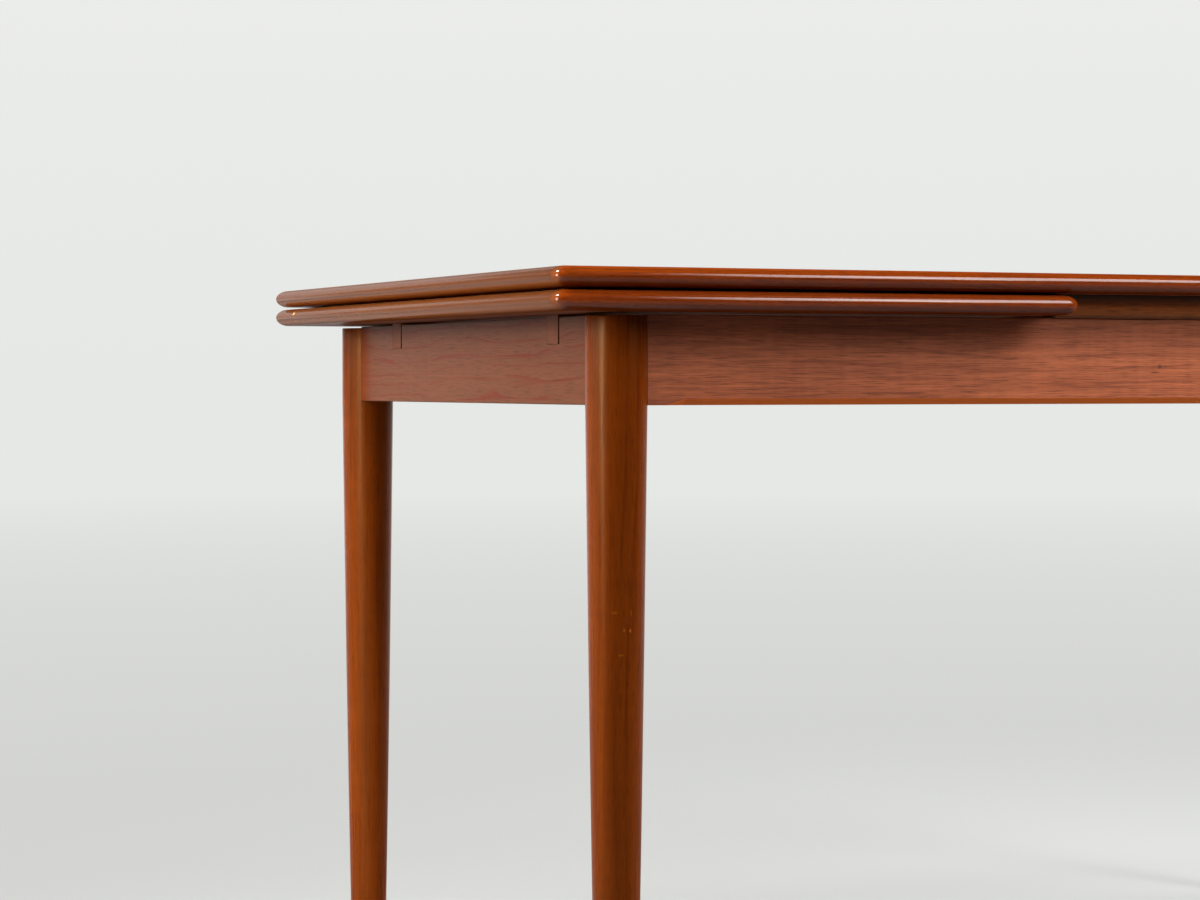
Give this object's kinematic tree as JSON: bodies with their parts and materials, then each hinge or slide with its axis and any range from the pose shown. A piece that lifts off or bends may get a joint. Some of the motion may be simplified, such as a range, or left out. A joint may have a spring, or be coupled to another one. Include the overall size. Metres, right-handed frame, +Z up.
{
  "type": "draw-leaf dining table",
  "caption": "Wooden draw-leaf dining table: a loose top over pull-out leaves on slides, with aprons and round tapered legs.",
  "frame": {"origin": "on the floor, under the middle of the table top", "axes": "+X along the length of the top, +Y across it, +Z up"},
  "size_m": [1.312, 0.83, 0.73],
  "materials": {
    "teak_veneer_board": "satin lacquered teak veneer, straight grain along the table",
    "teak_veneer_apron": "satin lacquered teak veneer, grain along the apron",
    "teak_lipping": "glossy lacquered solid teak edging",
    "turned_teak": "turned and lacquered solid teak, grain upright",
    "slide_teak": "planed teak, waxed",
    "planed_beech": "planed beech, unfinished",
    "turned_beech": "turned beech, unfinished",
    "zinc_plated_steel": "zinc plated slotted wood screws"
  },
  "bodies": {
    "frame": {"centre_board": "teak_veneer_board", "centre_board_screws": "zinc_plated_steel", "centre_lipping_back": "teak_lipping", "centre_lipping_front": "teak_lipping", "centre_rail": "planed_beech", "corner_block_back_left": "planed_beech", "corner_block_back_right": "planed_beech", "corner_block_front_left": "planed_beech", "corner_block_front_right": "planed_beech", "corner_block_screws": "zinc_plated_steel", "end_apron_left": "teak_veneer_apron", "end_apron_right": "teak_veneer_apron", "leg_back_left": "turned_teak", "leg_back_right": "turned_teak", "leg_dowels": "turned_beech", "leg_front_left": "turned_teak", "leg_front_right": "turned_teak", "rail_dowels": "turned_beech", "side_apron_back": "teak_veneer_apron", "side_apron_front": "teak_veneer_apron"},
    "loose_top": {"guide_peg_left": "turned_beech", "guide_peg_right": "turned_beech", "guide_peg_screws": "zinc_plated_steel", "stop_disc_left": "turned_beech", "stop_disc_right": "turned_beech", "top_lipping_back": "teak_lipping", "top_lipping_front": "teak_lipping", "top_lipping_left": "teak_lipping", "top_lipping_right": "teak_lipping", "top_panel": "teak_veneer_board"},
    "left_leaf": {"left_leaf_lipping_back": "teak_lipping", "left_leaf_lipping_front": "teak_lipping", "left_leaf_lipping_left": "teak_lipping", "left_leaf_lipping_right": "teak_lipping", "left_leaf_panel": "teak_veneer_board", "left_slide_back": "slide_teak", "left_slide_front": "slide_teak", "left_slide_screws": "zinc_plated_steel", "left_stop_pegs": "turned_beech"},
    "right_leaf": {"right_leaf_lipping_back": "teak_lipping", "right_leaf_lipping_front": "teak_lipping", "right_leaf_lipping_left": "teak_lipping", "right_leaf_lipping_right": "teak_lipping", "right_leaf_panel": "teak_veneer_board", "right_slide_back": "slide_teak", "right_slide_front": "slide_teak", "right_slide_screws": "zinc_plated_steel", "right_stop_pegs": "turned_beech"}
  },
  "joints": [
    {"name": "left_leaf_draw", "type": "slide", "parent": "frame", "child": "left_leaf", "axis": [-1, 0, 0], "range_m": [0, 0.52]},
    {"name": "right_leaf_draw", "type": "slide", "parent": "frame", "child": "right_leaf", "axis": [1, 0, 0], "range_m": [0, 0.52]},
    {"name": "top_lift", "type": "slide", "parent": "frame", "child": "loose_top", "axis": [0, 0, 1], "range_m": [0, 0.022]}
  ]
}
